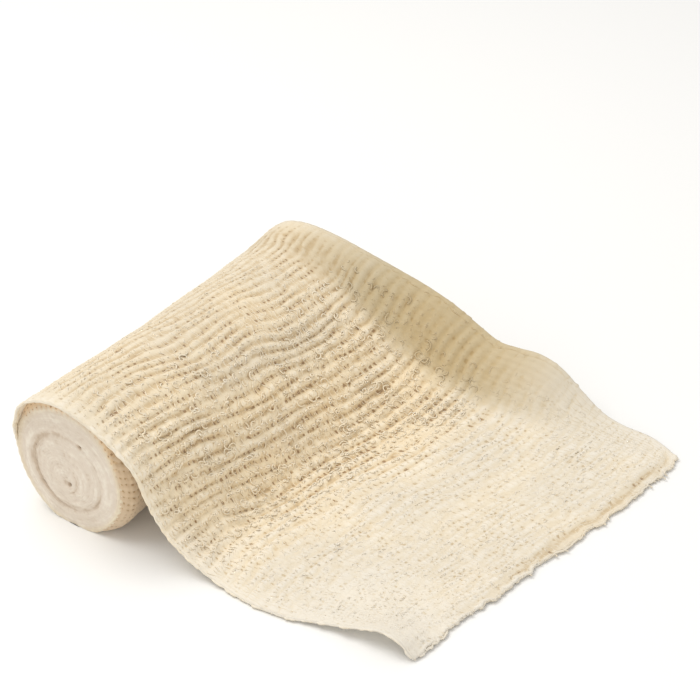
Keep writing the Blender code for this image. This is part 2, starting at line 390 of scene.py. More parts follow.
WARMTH = ((0.0, 0.0), (42.0, 0.1), (72.0, 1.0), (88.0, 0.85), (108.0, 0.3), (172.0, 0.3))
WARMTH_CLOUDS = Noise(9.0, 12.0, 12, 0.25)
COOL_LEFT = Ease(0.0, 14.0)
# Where shade is painted: past the crease, along u and by v, and on the outermost turn under the slope.
RAISED = ((8.0, 0.0), (30.0, 0.22), (36.0, 0.35), (54.0, 0.9), (65.0, 1.0), (95.0, 1.0), (125.0, 0.3))
RAISED_SIDE = Ease(83.0, 91.0)
SHELTER_START, SHELTER_END = Ease(172.0, 186.0), Ease(232.0, 218.0)


def crinkle(u, field):
    """A column of the crinkle table, read at u."""
    return np.interp(u, [c.u for c in CRINKLES], [getattr(c, field) for c in CRINKLES])


@lru_cache(maxsize=None)
def rib_count():
    """Lengths along the strip, and how many ribs lie before each."""
    fine = np.linspace(CRINKLES[0].u, CRINKLES[-1].u, COUNT_STEPS)
    per_mm = 1.0 / crinkle(fine, "pitch")
    steps = (per_mm[1:] + per_mm[:-1]) / 2 * np.diff(fine)
    return fine, np.concatenate([[0.0], np.cumsum(steps)])


def rib_phase(u, v):
    """Ribs counted from the cut; they wander, join and part a little across the width."""
    fine, count = rib_count()
    wander = noise(RIB_SWAY, u, v) + noise(RIB_WOBBLE, u, v)
    wander = wander + noise(FLAT_JUMBLE, u, v) * eased(FLAT_PART, u)
    wander = wander + noise(TURN_JUMBLE, u, v) * eased(TURN_PART, u)
    return np.interp(np.clip(u + wander, 0, fine[-1]), fine, count)


def calm(u, v):
    """Share of the full crinkle: less at the woven edges and past the crease on the right."""
    at_edge = eased(LEFT_CALM, u)
    left = at_edge + (1.0 - at_edge) * eased(LEFT_EDGE, v)
    right = eased(RIGHT_EDGE, WIDTH - v)
    return left * right * (1.0 - eased(PAST_CREASE, v) * eased(BEFORE_ROLL, u))


def cut_band(u, v):
    """The pressed line that runs beside the cut: a rib, and the groove between it and the cut, which is
    also painted with shade.
    """
    there = eased(CUT_BAND_LEFT, v) * eased(CUT_BAND_END, v)
    sway = yarn_noise(CUT_BAND_SWAY, v)
    groove = bell(u - CUT_GROOVE_AT + sway, CUT_BAND_WIDTH)
    rib = bell(u - CUT_RIB_AT + sway, CUT_BAND_WIDTH)
    return there * (CUT_RIB_HEIGHT * rib - CUT_GROOVE_DEPTH * groove), there * groove


def relief(u, v):
    """Height over the middle of the cloth in millimetres, and depth of painted shade: 0 on crests, 1 in
    holes.
    """
    rough = profile(COARSE, u)
    share = calm(u, v)
    crest = 0.5 + 0.5 * np.cos(math.tau * rib_phase(u, v))
    rib = (crest - 0.5) * (RIB_MEAN + noise(RIB_UNEVEN, u, v))
    knot = noise(KNOTS, u, v)
    pit = eased(PIT_EDGE, noise(PITS, u, v)) * (1.0 - PIT_LOSS_ON_CREST * crest)
    band, groove = cut_band(u, v)
    lumps = KNOT_HEIGHT * knot + noise(BUMPS, u, v) - PIT_DEPTH * pit
    height = share * (RIB_GAIN * crinkle(u, "height") * rib + rough * lumps)
    height = height + noise(SLOW_SWELL, u, v) + band
    # Painted shade: darker in rib valleys and pits, paler on knots.
    depth = rough * (MEAN_SHADE - RIB_SHADE * rib - KNOT_SHADE * knot + PIT_SHADE * pit)
    depth = depth * eased(LEFT_SHADE, v) + eased(ROLL_SHADE, u) + eased(FLAT_SHADE, u)
    return height, np.clip(share * depth + CUT_GROOVE_SHADE * groove, 0.0, 1.0)


def warmth(u, v):
    """Share of painted warm light: 0 on the floor, where the cloth is palest, and 1 low on the slope,
    where it is coloured brightest and warmest; its clouds are uneven tone.
    """
    inside = eased(COOL_LEFT, v)
    warm = profile(WARMTH, u) * (0.6 + 0.4 * inside)
    return np.clip(warm + noise(WARMTH_CLOUDS, u, v) * inside, 0.0, 1.0)


def painted_shade(u, v):
    """1 where shade is painted: past the crease on the raised selvedge's cloth, and on the outermost
    turn under the slope.
    """
    sheltered = eased(SHELTER_START, u) * eased(SHELTER_END, u)
    return eased(RAISED_SIDE, v) * profile(RAISED, u) * (u < JOIN) + sheltered


# ---------------- meshes

# Painted light at the left edge by the slope's foot, and a paler colour beside the cut.
PALE_FOOT, PALE_FOOT_END = Ease(75.0, 63.0, 0.0, 0.8), Ease(49.0, 58.0)
PALE_FRONT = Ease(38.0, 24.0)
PALE_LEFT = Ease(42.0, 6.0)
PALE_LOSS = 0.8  # painted light: share of the depth taken away where the cloth is palest

CUT_WAVES = YarnNoise(2.6, 0.0, 13, 0.55)
CUT_NUBS = YarnNoise(1.1, 0.0, 14, 0.35)
CUT_FIRM_LEFT, CUT_FIRM_RIGHT = Ease(1.0, 6.0), Ease(99.0, 95.0)
CUT_REACH = Ease(4.0, 0.0)


def grid_faces(rows, columns, closed=False):
    """Quads of a grid, as indices; closed joins each row's two ends."""
    i = np.arange(rows - 1)[:, None]
    j = np.arange(columns if closed else columns - 1)[None, :]
    k = (j + 1) % columns
    quads = [i * columns + j, i * columns + k, (i + 1) * columns + k, (i + 1) * columns + j]
    return np.stack(quads, -1).reshape(-1, 4)


def make_mesh(name, points_mm, faces, material, floats=None, smooth=True):
    """An object from arrays, with named numbers kept on its points."""
    mesh = bpy.data.meshes.new(name)
    faces = np.asarray(faces, np.int32)
    mesh.vertices.add(len(points_mm))
    mesh.vertices.foreach_set("co", (np.asarray(points_mm, float) * MM).ravel())
    mesh.loops.add(faces.size)
    mesh.loops.foreach_set("vertex_index", faces.ravel())
    mesh.polygons.add(len(faces))
    mesh.polygons.foreach_set("loop_start", np.arange(0, faces.size, faces.shape[1]))
    mesh.update(calc_edges=True)
    mesh.validate()
    if smooth:
        mesh.shade_smooth()
    for key, values in (floats or {}).items():
        attribute = mesh.attributes.new(key, "FLOAT", "POINT")
        attribute.data.foreach_set("value", np.asarray(values, np.float32).ravel())
    mesh.materials.append(material)
    obj = bpy.data.objects.new(name, mesh)
    bpy.context.scene.collection.objects.link(obj)
    return obj


def painted_light_side(u, v):
    """Near 1 at the left edge by the slope's foot, where light is painted, and beside the cut; the
    cloth is coloured paler there.
    """
    return eased(PALE_LEFT, v) * (eased(PALE_FOOT, u) * eased(PALE_FOOT_END, u) + eased(PALE_FRONT, u))


def tones(u, v, depth):
    """The named numbers that every crepe material reads from the points: depth of painted shade,
    lessened where light is painted, and the shares of painted warm light and of painted shade.
    """
    return {"depth": depth * (1.0 - PALE_LOSS * painted_light_side(u, v)),
            "warmth": warmth(u, v), "painted_shade": painted_shade(u, v)}


def ragged(u, v):
    """How far the cut's own unevenness carries a point of the strip past the drawn cut."""
    nubs = yarn_noise(CUT_WAVES, v) + yarn_noise(CUT_NUBS, v)
    return nubs * eased(CUT_FIRM_LEFT, v) * eased(CUT_FIRM_RIGHT, v) * eased(CUT_REACH, u)


def make_sheet(name, strip, u_from, u_to, material):
    """The woven ground between two lengths of the strip."""
    rows = int(round((u_to - u_from) / ROW_STEP)) + 1
    u, v = np.meshgrid(np.linspace(u_from, u_to, rows), np.linspace(0.0, WIDTH, COLUMNS + 1),
                       indexing="ij")
    points, normals = strip.at(u - ragged(u, v), v)
    height, depth = relief(u, v)
    points = points + normals * height[..., None]
    points[..., 2] = np.maximum(points[..., 2], SHEET_MM / 2 + SHEET_GAP)
    floats = {**tones(u, v, depth), "rib": rib_phase(u, v), "across": v}
    obj = make_mesh(name, points.reshape(-1, 3), grid_faces(rows, COLUMNS + 1), material, floats)
    solidify = obj.modifiers.new("cloth", "SOLIDIFY")
    solidify.thickness = SHEET_MM * MM
    solidify.offset = 0.0
    return obj


# ---------------- the wound turns' end faces

FACE_STEPS = 264
FACE_RINGS = 84
ROUND = np.linspace(0.0, math.tau, FACE_STEPS, endpoint=False)
RING_SHARES = np.linspace(0.004, 1.0, FACE_RINGS)
FACE_BACK = 0.35  # how far the face's middle height lies inside the roll's length
FACE_FLOOR_GAP = 0.062
FACE_BULGE = Ease(1.0, 0.4, 0.0, 0.35)
BEAD = 1.3  # height of the soft rounded rim that the selvedges make
BEAD_BACK = 0.15  # how far the rim stays inside the roll's outline
RIM_GROWTH = Ease(0.86, 1.0)  # by a ring's share, how much of the spiral's growth it has
RIM_PART = Ease(0.86, 0.96)
RIM_RINGS = ((0.0, 0.35), (0.85, 0.9))  # past the rim: how far inside its outline, and in along Y
SIDE_RINGS = ((46.0, 1.9), (35.0, 2.5))  # then the hidden side: |y|, how far inside the outline

FINE_TURN = 0.62  # pitch of the wound turns
TURN_DRIFT = Noise(4.0, 4.0, 24, 0.3)
TURN_PATCHES = Noise(2.5, 2.5, 20, 0.5)
FELT = Noise(1 / 1.7, 1 / 1.7, 23)
SLACK_SHARE = 0.62  # where one slack turn leaves a gap
SLACK_SWAY, SLACK_SWAY_ANGLE, SLACK_OVAL = 0.015, 0.6, 0.012
LOW_SIDE_ANGLE = 0.9
GAP_SOFTNESS = 1.6
CORNER_ANGLE = 1.05  # where the slack turn pinches to a small corner of painted shade
CORNER_SHARE, CORNER_SPREAD = 0.03, 0.05
HOLLOW_HALF_WIDTH, HOLLOW_HALF_HEIGHT = 0.9, 0.6
CREASE_SHARE, CREASE_WIDTH, CREASE_ANGLE = 0.2, 0.03, 0.4
CREASE_REACH = Ease(-0.2, 0.8)

# What each feature of an end face adds to its height, in millimetres, and to its depth of painted
# shade: darker in the slack gap, hollow, crease and corner, and paler, as painted light, on raised
# turns, streaks and felt, which also vary its tone at random.
Feature = namedtuple("Feature", "name height depth")
FACE_FEATURES = (
    Feature("turns", 0.07, -0.09),
    Feature("streak", 0.17, -0.14),
    Feature("fine_streak", 0.10, -0.12),
    Feature("felt", 0.08, -0.10),
    Feature("gap", -0.6, 0.42),
    Feature("hollow", -1.2, 0.75),
    Feature("crease", -0.2, 0.2),
    Feature("corner", -0.7, 0.6),
)
FACE_SHADE = 0.26

# Where the wound turns are centred on an end face, (x, z): they sag round the first fold.
TurnCentre = namedtuple("TurnCentre", "share x z")
TURN_CENTRES = (
    TurnCentre(0.0, -0.7, 12.5),
    TurnCentre(0.3, -1.6, 14.6),
    TurnCentre(SLACK_SHARE, -1.2, 16.1),
    TurnCentre(1.0, 0.0, ROLL_AXIS_HEIGHT),
)

# Round the roll, in degrees up from +X: how far the selvedges swell out of it where the loose
# end's edge lifts off it, where the side of the last turn shows, and from which ring's share.
UNDER_CLOTH = ((30, 0.0), (60, 1.5), (103, 2.2), (117, 2.15), (131, 1.75), (143, 1.3), (156, 1.0),
               (157, 0.0))
BAND_SHOWS = ((5, 0.0), (25, 1.0), (140, 1.0), (152, 0.0))
BAND_FROM = ((20, 0.95), (45, 0.93), (95, 0.90), (140, 0.92), (152, 0.94))
BAND_EDGE = 0.03
BAND_SCALLOP = 0.012
BAND_PITCH = 2.0  # of the holes' rows round the last turn
BAND_STRETCH = 2.4  # how much wider the band is than its share of the outline


def face_height(share, angle, radius, side):
    """How far a point of an end face stands out of its plane, and its depth of painted shade."""
    across, up = radius * np.cos(angle), radius * np.sin(angle)
    turn = radius / FINE_TURN + side * angle / math.tau + noise(TURN_DRIFT, across, up)
    slack = SLACK_SHARE + SLACK_SWAY * np.cos(angle - SLACK_SWAY_ANGLE) + SLACK_OVAL * np.cos(2 * angle)
    low = 0.5 - 0.5 * np.sin(angle + LOW_SIDE_ANGLE)
    gap = np.exp(-np.abs((share - slack) / (0.028 + 0.038 * low)) ** GAP_SOFTNESS)
    features = {
        "turns": np.cos(math.tau * turn) * (0.5 + noise(TURN_PATCHES, across, up)),
        "streak": value_noise(radius / 1.4 + 7, 2.2 * np.cos(angle) + 9, 21),
        "fine_streak": value_noise(radius / 0.6, 5 * np.sin(angle + 1) + 20, 22),
        "felt": noise(FELT, across, up),
        "gap": gap * (0.6 + 0.4 * low),
        "hollow": bell(across, HOLLOW_HALF_WIDTH) * bell(up, HOLLOW_HALF_HEIGHT),
        "crease": (bell(share - CREASE_SHARE, CREASE_WIDTH)
                   * eased(CREASE_REACH, np.cos(angle + CREASE_ANGLE))),
        "corner": bell(share - slack, CORNER_SHARE) * bell(angle - CORNER_ANGLE, CORNER_SPREAD),
    }
    height = eased(FACE_BULGE, share) + sum(f.height * features[f.name] for f in FACE_FEATURES)
    depth = FACE_SHADE + sum(f.depth * features[f.name] for f in FACE_FEATURES)
    return height, np.clip(depth, 0.0, 1.0)


def last_turn_band(angles, share):
    """1 where the side of the last turn shows between the pale rim and the lifted cloth, tinted tan:
    partly its own colour, partly painted shade under the cloth.
    """
    start = profile(BAND_FROM, np.degrees(angles))
    start = start + BAND_SCALLOP * np.cos(angles * ROLL_HALF_HEIGHT * math.tau / BAND_PITCH)
    shows = profile(BAND_SHOWS, np.degrees(angles))
    return shows * smoothstep(start, start + BAND_EDGE, share)


def end_face(side):
    """Rings of one end face from its middle out, then round the rim to the hidden side."""
    plain = roll_point(ROUND, 0.0 * ROUND, 0.0) - (0.0, 0.0, ROLL_AXIS_HEIGHT)
    plain_radius = np.linalg.norm(plain, axis=-1)
    shares = [c.share for c in TURN_CENTRES]
    centres = np.array([(c.x, 0.0, c.z) for c in TURN_CENTRES])
    growth = turn_growth(ROUND) + profile(UNDER_CLOTH, np.degrees(ROUND))
    growth = growth - FACE_INSET * front_side(ROUND)
    rings, depths = [], []
    for share in RING_SHARES:
        longer = (growth * eased(RIM_GROWTH, share) - BEAD_BACK) / plain_radius
        out = plain * share * (1.0 + longer)[:, None]
        points = catmull_rom(shares, centres, [share]) + out
        height, depth = face_height(share, ROUND, np.linalg.norm(out, axis=-1), side)
        from_rim = (1.0 - share) * (ROLL_HALF_WIDTH + ROLL_HALF_HEIGHT) / 2
        rounding = BEAD * (1.0 - math.sqrt(1.0 - max(0.0, 1.0 - from_rim / BEAD) ** 2))
        points[:, 1] = side * (ROLL_LENGTH / 2 - FACE_BACK + height - rounding)
        rings.append(points)
        depths.append(depth)
    rim = rings[-1][:, 1]
    for back, inwards in RIM_RINGS:
        rings.append(roll_point(ROUND, growth - BEAD_BACK - back, rim - side * inwards))
    for y, back in SIDE_RINGS:
        rings.append(roll_point(ROUND, turn_growth(ROUND) - back, side * y))
    rings = np.array(rings)
    depths = np.array(depths + [depths[-1]] * (len(rings) - FACE_RINGS))
    rings[..., 2] = np.maximum(rings[..., 2], FACE_FLOOR_GAP)
    return rings, depths


def make_wound_turns(material):
    """Everything inside the outermost turn: both end faces and the side between them."""
    left, left_depth = end_face(-1)
    right, right_depth = end_face(1)
    points = np.concatenate([left, right[::-1]])
    depths = np.concatenate([left_depth, right_depth[::-1]])
    past_rim = 1.02 + 0.03 * np.arange(len(left) - FACE_RINGS)
    reach = np.concatenate([RING_SHARES, past_rim, past_rim[::-1], RING_SHARES[::-1]])
    reach = reach[:, None] + 0.0 * depths
    floats = {"depth": depths, "rim": eased(RIM_PART, reach),
              "band": last_turn_band(ROUND[None, :], reach),
              "rib": ROLL_HALF_HEIGHT * ROUND[None, :] / BAND_PITCH + 0.0 * depths,
              "across": (reach - RING_SHARES[0]) * ROLL_HALF_HEIGHT * BAND_STRETCH}
    faces = grid_faces(len(points), FACE_STEPS, closed=True)
    return make_mesh("wound_turns", points.reshape(-1, 3), faces, material, floats)


# ---------------- yarns

YARN_FLATNESS = 0.46  # height of a pressed yarn's section over its width
YARN_TIP = 0.15  # share of its section that a yarn keeps at its two ends
UNDERSIDE_PAINTED_SHADE = 0.32  # painted shade: how much deeper a yarn's underside is coloured than its top
MOST_FLAT_SIDES = 4  # of a yarn whose sides are shaded flat

SUNK = Ease(80.0, 88.0, 0.0, 0.14)  # how much deeper yarns lie past the crease, by v
SUNK_ALONG = Ease(30.0, 50.0)
SUNK_END = 1.5  # short of the right edge

WARP_SPACING = 1.2  # of the lengthwise yarns that show
WARP_RADIUS = 0.27
WARP_PIECES = 3  # the lengthwise yarns are joined into this many meshes
WARP_POINTS = 12  # for each rib
WARP_FINE_STEP = 0.1
WARP_TAIL = 1.0  # past the loose end's mesh
WARP_BITE = 0.07  # how far a yarn lies in the ground
WARP_JITTER = 0.2
EDGE_YARN = 1.0  # from the edge to the first yarn
EDGE_MARGIN = 0.4
END_LENGTH = (0.0, 0.5)  # of the yarns' ends past the cut
LONG_END, LONG_END_CHANCE = (0.2, 1.2), 0.2
TWIST = YarnNoise(1 / 0.8, 13.7, 31, 2.0)
KINK = YarnNoise(1 / 0.9, 5.3, 32, 0.5, 31)
KINK_SIDE = YarnNoise(1 / 0.8, 3.1, 33, 2.2, 50)
DRIFT = YarnNoise(5.0, 7.7, 34, 0.45)
WARP_UNEVEN = YarnNoise(1 / 1.7, 1.0, 35, 0.2)
KINKS_WHERE_ROUGH = Ease(0.4, 0.9, 0.4, 1.0)
KINK_LEAST_HEIGHT = 0.03

WEFT_RADIUS = 0.24
WEFT_STEP = 0.55  # between points of a crosswise yarn
WEFT_SEARCH_STEP = 0.25
WEFT_MARGIN = 0.6
WEFT_BITE = 0.06
WEFT_WAVE = 0.12
WEFT_WANDER = YarnNoise(2.1, 3.7, 41, 0.16)
WEFT_WEAVE = YarnNoise(WARP_SPACING / 2, 1.9, 42)
WEFT_UNEVEN = YarnNoise(1.5, 1.0, 43, 0.25)

CURLS = 1300  # loose kinks that stand up on the slope and lie on the floor's part
CURL_POINTS = 10
SLOPE_CHANCE = 0.27  # of a curl's place being on the slope
SLOPE_FROM = 56.0  # u from which a curl has the slope's sweep and stray
LOFT = Ease(50.0, 72.0)  # how far the curls stand up: not on the floor, fully on the slope

# The two kinds of curl: where they lie along u, how far round they go and how much they stray.
Curl = namedtuple("Curl", "place sweep stray")
SLOPE_CURL = Curl((60.0, 110.0), (2.7, 4.9), 0.1)
FLAT_CURL = Curl((3.0, 62.0), (2.2, 5.2), 0.25)

SELVEDGE_HALF_WIDTH, SELVEDGE_HALF_HEIGHT = 0.6, 0.36
SELVEDGE_IN = 0.55  # from the edge to the selvedge's middle
SELVEDGE_BITE = 0.12


class Tubes:
    """Yarns gathered for one mesh: tubes round paths that lie along the cloth."""

    def __init__(self, sides):
        self.sides = sides
        self.points, self.faces, self.floats, self.first = [], [], [], 0

    def add(self, path, normals, width, height, floats):
        """One yarn, with half width and half height at each point; its ends are drawn together."""
        along = np.gradient(path, axis=0)
        along = along / np.maximum(np.linalg.norm(along, axis=-1, keepdims=True), TINY)
        side = np.cross(along, normals)
        side = side / np.maximum(np.linalg.norm(side, axis=-1, keepdims=True), TINY)
        up = np.cross(side, along)
        taper = np.ones(len(path))
        taper[[0, -1]] = YARN_TIP
        width = (width * taper)[:, None, None]
        height = (height * taper)[:, None, None]
        turns = np.arange(self.sides) * math.tau / self.sides + math.pi / 2
        ring = (side[:, None] * np.cos(turns)[None, :, None] * width
                + up[:, None] * np.sin(turns)[None, :, None] * height)
        points = path[:, None] + ring
        points[..., 2] = np.maximum(points[..., 2], YARN_GAP)
        self.points.append(points.reshape(-1, 3))
        self.faces.append(grid_faces(len(path), self.sides, closed=True) + self.first)
        spread = {key: np.repeat(values, self.sides) for key, values in floats.items()}
        # Painted shade: each yarn's underside is coloured deeper than its top.
        below = UNDERSIDE_PAINTED_SHADE * (0.5 - 0.5 * np.sin(turns))
        spread["depth"] = np.clip(spread["depth"] + np.tile(below, len(path)), 0.0, 1.0)
        self.floats.append(spread)
        self.first += len(path) * self.sides

    def mesh(self, name, material):
        floats = {key: np.concatenate([f[key] for f in self.floats]) for key in self.floats[0]}
        return make_mesh(name, np.concatenate(self.points), np.concatenate(self.faces), material,
                         floats, smooth=self.sides > MOST_FLAT_SIDES)


def sunk(u, v):
    """How much deeper the yarns lie in the felted, raised cloth past the crease."""
    return eased(SUNK, v) * eased(SUNK_ALONG, u) * (v < WIDTH - SUNK_END)


def add_warp(tubes, strip, index, v_middle, overhang):
    """A crepe-twisted lengthwise yarn: it kinks into a small loop on the crest of each rib."""
    t = np.arange(-overhang, JOIN + WARP_TAIL, WARP_FINE_STEP)
    phase_at = rib_phase(t, v_middle + 0.0 * t) + np.minimum(t, 0.0) / CRINKLES[0].pitch
    phase_at = np.maximum.accumulate(phase_at + TINY * np.arange(len(t)))
    phase = np.arange(phase_at[0], phase_at[-1], 1.0 / WARP_POINTS)
    t = np.interp(phase, phase_at, t)
    on_cloth, straight, rough = np.maximum(t, 0.0), v_middle + 0.0 * t, profile(COARSE, t)
    turn = math.tau * phase + math.pi + yarn_noise(TWIST, phase, index)
    kink = 0.5 + yarn_noise(KINK, phase, index)
    kink_side = np.clip(yarn_noise(KINK_SIDE, phase, index), -1.0, 1.0)
    share = calm(on_cloth, straight) * eased(KINKS_WHERE_ROUGH, rough)
    u = t + crinkle(t, "pitch") * (0.08 + 0.30 * kink) * share * np.sin(turn)
    v = v_middle + (0.2 + 0.95 * kink) * share * kink_side * np.cos(turn)
    v = np.clip(v + yarn_noise(DRIFT, t, index), EDGE_MARGIN, WIDTH - EDGE_MARGIN)
    height, _ = relief(np.maximum(u, 0.0), v)
    lift = (0.5 - 0.5 * np.cos(turn)) * (0.3 + 0.9 * kink) * share
    proud = height + SHEET_MM / 2 - WARP_BITE - sunk(on_cloth, straight)
    proud = proud + lift * (KINK_LEAST_HEIGHT + crinkle(t, "height") * rough)
    proud = np.where(u < 0.0, np.minimum(proud, 0.2 + 0.4 * lift), proud)
    points, normals = strip.at(u - ragged(np.maximum(u, 0.0), v), v)
    points = points + normals * proud[:, None]
    radius = WARP_RADIUS * (1.0 + yarn_noise(WARP_UNEVEN, phase, index))
    # Painted light: the loops that stand up are coloured paler.
    depth = np.clip(0.22 - 0.25 * lift, 0.0, 1.0)
    tubes.add(points, normals, radius, YARN_FLATNESS * radius, tones(np.maximum(u, 0.0), v, depth))


def make_warps(strip, material):
    rng = np.random.RandomState(7)
    count = int((WIDTH - 2 * EDGE_YARN) / WARP_SPACING)
    groups = [Tubes(3) for _ in range(WARP_PIECES)]
    for index in range(count + 1):
        v_middle = EDGE_YARN + index * (WIDTH - 2 * EDGE_YARN) / count
        v_middle = v_middle + rng.uniform(-WARP_JITTER, WARP_JITTER)
        overhang = rng.uniform(*END_LENGTH)
        if rng.uniform() < LONG_END_CHANCE:
            overhang = overhang + rng.uniform(*LONG_END)
        add_warp(groups[index % WARP_PIECES], strip, index, v_middle, overhang)
    return [group.mesh(f"warp_yarns_{n + 1}", material) for n, group in enumerate(groups)]


def make_wefts(strip, material):
    """Soft crosswise yarns, one between each two ribs, over and under the lengthwise ones."""
    tubes = Tubes(3)
    u_line = np.arange(0.0, JOIN, WEFT_SEARCH_STEP)
    v = np.arange(WEFT_MARGIN, WIDTH - WEFT_MARGIN, WEFT_STEP)
    u_grid, v_grid = np.meshgrid(u_line, v, indexing="ij")
    phases = np.maximum.accumulate(rib_phase(u_grid, v_grid) + TINY * u_grid, axis=0)
    for rib in range(1, int(phases[-1].min())):
        aim = rib + 0.5 + yarn_noise(WEFT_WANDER, v, rib)
        u = np.array([np.interp(a, phases[:, n], u_line) for n, a in enumerate(aim)])
        height, _ = relief(u, v)
        weave = yarn_noise(WEFT_WEAVE, v, rib)
        proud = height + SHEET_MM / 2 - WEFT_BITE + WEFT_WAVE * weave * calm(u, v) - sunk(u, v)
        points, normals = strip.at(u, v)
        points = points + normals * proud[:, None]
        radius = WEFT_RADIUS * (1.0 + yarn_noise(WEFT_UNEVEN, v, rib))
        # Painted light and shade: the weft is coloured paler where it rides up and darker where it
        # dips.
        depth = np.clip(0.30 - 0.15 * weave, 0.0, 1.0)
        tubes.add(points, normals, radius, YARN_FLATNESS * radius, tones(u, v, depth))
    return tubes.mesh("weft_yarns", material)


def add_curl(tubes, strip, rng, u_middle, v_middle):
    """An open, round kink of the twisted yarn."""
    kind = SLOPE_CURL if u_middle > SLOPE_FROM else FLAT_CURL
    rough, loft = profile(COARSE, u_middle), eased(LOFT, u_middle)
    size = rng.uniform(0.55, 1.3) * (0.4 + 0.6 * rough)
    sweep = rng.uniform(*kind.sweep)
    angle = rng.uniform(0.0, math.tau) + np.linspace(0.0, sweep, CURL_POINTS)
    swing = np.linspace(0.0, math.pi, CURL_POINTS)
    spread = 1.0 + 0.25 * rng.uniform(-1, 1) * np.cos(swing)
    stray = kind.stray * size * np.sin(2.3 * angle + rng.uniform(0.0, math.tau))
    u = u_middle + size * spread * np.cos(angle) + stray
    v = v_middle + size * rng.uniform(0.75, 1.0) * spread * np.sin(angle)
    height, _ = relief(u, v)
    base = height + loft * (height.max() - height)
    rise = 0.05 + loft * (0.08 + 0.22 * size) * rough
    proud = base + SHEET_MM / 2 - 0.03 - 0.12 * loft + rise * np.sin(swing)
    points, normals = strip.at(u, v)
    points = points + normals * proud[:, None]
    radius = np.full(CURL_POINTS, rng.uniform(0.18, 0.23) + 0.06 * loft)
    depth = np.full(CURL_POINTS, 0.14 * loft)
    tubes.add(points, normals, radius, YARN_FLATNESS * radius, tones(u, v, depth))


def make_curls(strip, material):
    """Kinks of the twisted yarn: loops that stand up on the slope, squiggles on the floor's part."""
    rng = np.random.RandomState(11)
    tubes = Tubes(3)
    for _ in range(CURLS):
        place = (SLOPE_CURL if rng.uniform() < SLOPE_CHANCE else FLAT_CURL).place
        u_middle, v_middle = rng.uniform(*place), rng.uniform(3.0, 96.0)
        bare = smoothstep(42.0, 15.0, v_middle) * smoothstep(84.0, 70.0, u_middle)
        if rng.uniform() >= 0.7 * bare * smoothstep(40.0, 55.0, u_middle):
            add_curl(tubes, strip, rng, u_middle, v_middle)
    return tubes.mesh("curled_yarns", material)


def make_selvedges(strip, material):
    """The firm, rounded woven edges along both sides of the loose end."""
    tubes = Tubes(8)
    u = np.arange(0.3, JOIN + 4.0, 0.5)
    for v_middle, seed in ((SELVEDGE_IN, 51), (WIDTH - SELVEDGE_IN, 52)):
        v = v_middle + 0.3 * value_noise(u / 1.1, 0.0 * u, seed)
        lumps = 1.0 + 0.4 * value_noise(u / 0.8, 0.0 * u + 5, seed)
        points, normals = strip.at(u, v)
        points = points - normals * SELVEDGE_BITE
        depth = 0.12 + 0.1 * value_noise(u / 0.7, 0.0 * u, seed + 2)
        tubes.add(points, normals, SELVEDGE_HALF_WIDTH * lumps, SELVEDGE_HALF_HEIGHT * lumps,
                  tones(u, v, depth))
    return tubes.mesh("selvedges", material)


def make_cut_threads(strip, material):
    """Crosswise yarns worked loose at the cut, in short wavy lengths and nubs."""
    rng = np.random.RandomState(23)
    tubes = Tubes(5)
    start = 2.0
    while start < WIDTH - 4.0:
        length = rng.uniform(3.0, 14.0)
        v = np.arange(start, min(start + length, WIDTH - 1.5), 0.35)
        swing = np.sin(np.linspace(0.0, math.pi, len(v)))
        row = 0.0 * v + start
        u = 0.25 - ragged(0.0 * v, v) - rng.uniform(0.0, 0.6) * swing
        u = u + 0.3 * value_noise(v / 0.9, row, 61)
        points, normals = strip.at(u, v)
        points = points + normals * (0.05 + 0.15 * value_noise(v / 0.8, row, 62))[:, None]
        radius = rng.uniform(0.26, 0.4) * (1.0 + 0.35 * value_noise(v / 0.7, row, 63))
        tubes.add(points, normals, radius, radius, tones(np.maximum(u, 0.0), v, 0.15 + 0.0 * v))
        start += length + rng.uniform(-1.5, 1.0)
    return tubes.mesh("cut_threads", material)


# ---------------- materials

COTTON = {"Roughness": 0.92, "Specular IOR Level": 0.2, "Sheen Weight": 0.4,
          "Sheen Roughness": 0.6, "Sheen Tint": (1.0, 0.93, 0.82, 1.0)}

# Colours by depth, from pale crests to painted shade in furrows and holes, and the tints that are
# multiplied in.
COTTON_STOPS = (
    (0.0, (0.785, 0.732, 0.635)),
    (0.35, (0.73, 0.645, 0.50)),
    (0.65, (0.59, 0.47, 0.305)),
    (1.0, (0.33, 0.215, 0.12)),
)
FACE_STOPS = (
    (0.0, (0.80, 0.73, 0.62)),
    (0.3, (0.705, 0.615, 0.51)),
    (0.65, (0.55, 0.44, 0.33)),
    (1.0, (0.20, 0.14, 0.10)),
)
# Painted warm light, multiplied in by the warmth share.
WARM_PAINTED_LIGHT = (1.19, 1.13, 1.01)
# Painted shade, multiplied in on the outermost turn under the slope and on the raised cloth past the
# crease.
TURN_PAINTED_SHADE = (0.90, 0.79, 0.70)
FLAP_PAINTED_SHADE = (0.63, 0.58, 0.46)
RIM_TINT = (1.0, 0.97, 0.86)
# The last turn's side on the end faces: tan, partly its own colour, partly painted shade under the
# lifted cloth.
BAND_TINT = (0.98, 0.84, 0.70)

# Noise in a material: its scale, what it is multiplied by and what is added.
Mottle = namedtuple("Mottle", "scale gain offset")
COTTON_MOTTLE = Mottle(420.0, 0.30, -0.15)
FACE_MOTTLE = Mottle(500.0, 0.30, -0.15)
HOLE_SHIFT = Mottle(260.0, 9.0, 0.0)
HOLE_UNEVEN = Mottle(800.0, 2.4, -1.25)

